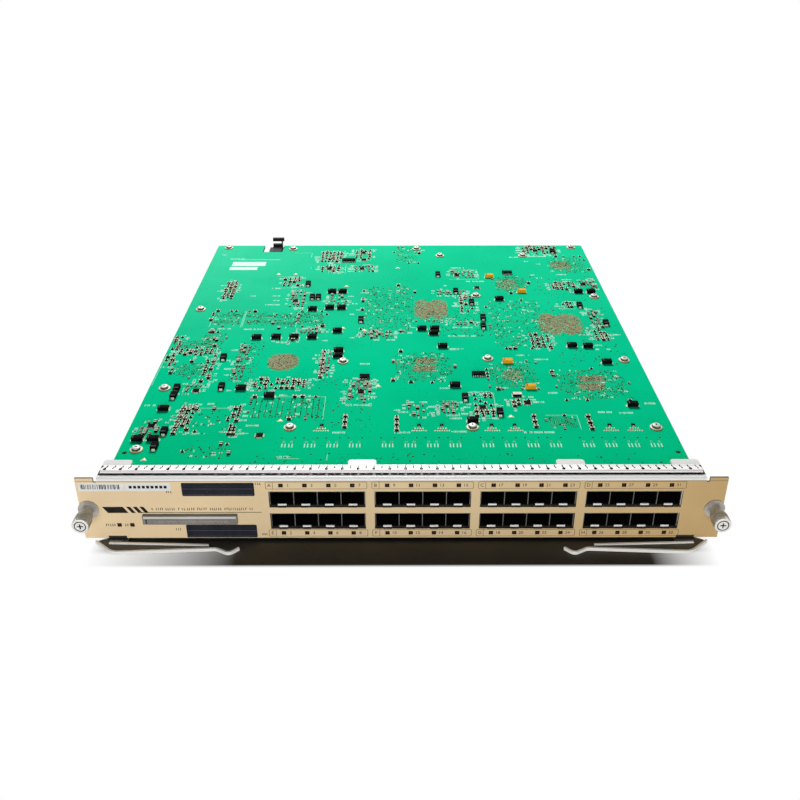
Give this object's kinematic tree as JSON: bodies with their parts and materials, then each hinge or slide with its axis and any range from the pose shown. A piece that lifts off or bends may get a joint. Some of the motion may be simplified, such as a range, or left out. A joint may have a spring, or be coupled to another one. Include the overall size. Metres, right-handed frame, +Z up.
{
  "type": "network switch line card",
  "caption": "Chassis line card: green board behind a folded gold panel with stacked pluggable ports, captive screws, ejector levers and backplane connectors",
  "frame": {"origin": "under the middle of the card, on the surface that it lies on", "axes": "+X to the right seen from the ports, +Y towards the backplane connectors, +Z up to the solder side"},
  "size_m": [0.3904, 0.4318, 0.0529],
  "materials": {
    "circuit_board": "satin green solder mask",
    "panel_paint": "satin gold paint on plated steel",
    "spring_bronze": "bright plated spring sheet",
    "cage_steel": "nickel plated sheet",
    "connector_black": "black moulding",
    "light_pipe": "clear moulding, dark unlit",
    "tray_plastic": "grey moulding",
    "guide_plastic": "dark moulding",
    "bright_steel": "nickel plated, turned",
    "lever_zinc": "zinc plated pressing",
    "fastener_zinc": "zinc plated",
    "stiffener_aluminium": "mill finish",
    "backplane_housing": "dark grey moulding",
    "sink_aluminium": "extruded, clear anodised",
    "chip_black": "epoxy moulding",
    "brick_case": "black anodised plate",
    "can_aluminium": "bright can",
    "choke_ferrite": "pressed ferrite",
    "tantalum_amber": "amber moulding"
  },
  "bodies": {
    "card": {"main_board": "circuit_board", "front_panel": "panel_paint", "contact_strip": "spring_bronze", "port_cage_a": "cage_steel", "port_partitions_a": "cage_steel", "port_connectors_a": "connector_black", "port_cage_b": "cage_steel", "port_partitions_b": "cage_steel", "port_connectors_b": "connector_black", "port_cage_c": "cage_steel", "port_partitions_c": "cage_steel", "port_connectors_c": "connector_black", "port_cage_d": "cage_steel", "port_partitions_d": "cage_steel", "port_connectors_d": "connector_black", "light_pipes_upper": "light_pipe", "light_pipes_lower": "light_pipe", "status_light_pipes": "light_pipe", "label_tray_guide": "guide_plastic", "ferrule_left": "bright_steel", "captive_spring_left": "bright_steel", "lever_pivot_left": "lever_zinc", "lever_bracket_left": "lever_zinc", "ferrule_right": "bright_steel", "captive_spring_right": "bright_steel", "lever_pivot_right": "lever_zinc", "lever_bracket_right": "lever_zinc", "board_screws": "fastener_zinc", "stiffener_left": "stiffener_aluminium", "stiffener_right": "stiffener_aluminium", "stiffener_front": "stiffener_aluminium", "stiffener_centre": "stiffener_aluminium", "signal_connector": "backplane_housing", "power_connector": "backplane_housing", "alignment_key": "connector_black", "cooled_chips": "chip_black", "heatsink_fabric": "sink_aluminium", "heatsink_engine_left": "sink_aluminium", "heatsink_engine_right": "sink_aluminium", "heatsink_lookup_left": "sink_aluminium", "heatsink_lookup_right": "sink_aluminium", "bare_chips": "chip_black", "memory_chips": "chip_black", "power_bricks": "brick_case", "bulk_capacitors": "can_aluminium", "chokes": "choke_ferrite", "moulded_capacitors": "chip_black", "tantalum_capacitors": "tantalum_amber", "driver_chips": "chip_black"},
    "label_tray": {"label_tray": "tray_plastic"},
    "screw_stop_left": {"retainer_left": "bright_steel"},
    "captive_screw_left": {"captive_screw_left": "bright_steel"},
    "ejector_lever_left": {"ejector_lever_left": "lever_zinc"},
    "screw_stop_right": {"retainer_right": "bright_steel"},
    "captive_screw_right": {"captive_screw_right": "bright_steel"},
    "ejector_lever_right": {"ejector_lever_right": "lever_zinc"}
  },
  "joints": [
    {"name": "label_tray_slide", "type": "slide", "parent": "card", "child": "label_tray", "axis": [0, -1, 0], "range_m": [0, 0.04]},
    {"name": "screw_push_left", "type": "slide", "parent": "card", "child": "screw_stop_left", "axis": [0, 1, 0], "range_m": [0, 0.004], "stiffness_N_per_m": 300, "springref_m": -0.002, "deforming": ["captive_spring_left"]},
    {"name": "screw_turn_left", "type": "hinge", "parent": "screw_stop_left", "child": "captive_screw_left", "pos_m": [-0.189, -0.1981, 0.0248], "axis": [0, -1, 0], "continuous": true},
    {"name": "lever_turn_left", "type": "hinge", "parent": "card", "child": "ejector_lever_left", "pos_m": [-0.1744, -0.1911, 0.001], "axis": [0, 0, -1], "range_deg": [0, 62]},
    {"name": "screw_push_right", "type": "slide", "parent": "card", "child": "screw_stop_right", "axis": [0, 1, 0], "range_m": [0, 0.004], "stiffness_N_per_m": 300, "springref_m": -0.002, "deforming": ["captive_spring_right"]},
    {"name": "screw_turn_right", "type": "hinge", "parent": "screw_stop_right", "child": "captive_screw_right", "pos_m": [0.189, -0.1981, 0.0248], "axis": [0, -1, 0], "continuous": true},
    {"name": "lever_turn_right", "type": "hinge", "parent": "card", "child": "ejector_lever_right", "pos_m": [0.1744, -0.1911, 0.001], "axis": [0, 0, 1], "range_deg": [0, 62]}
  ]
}
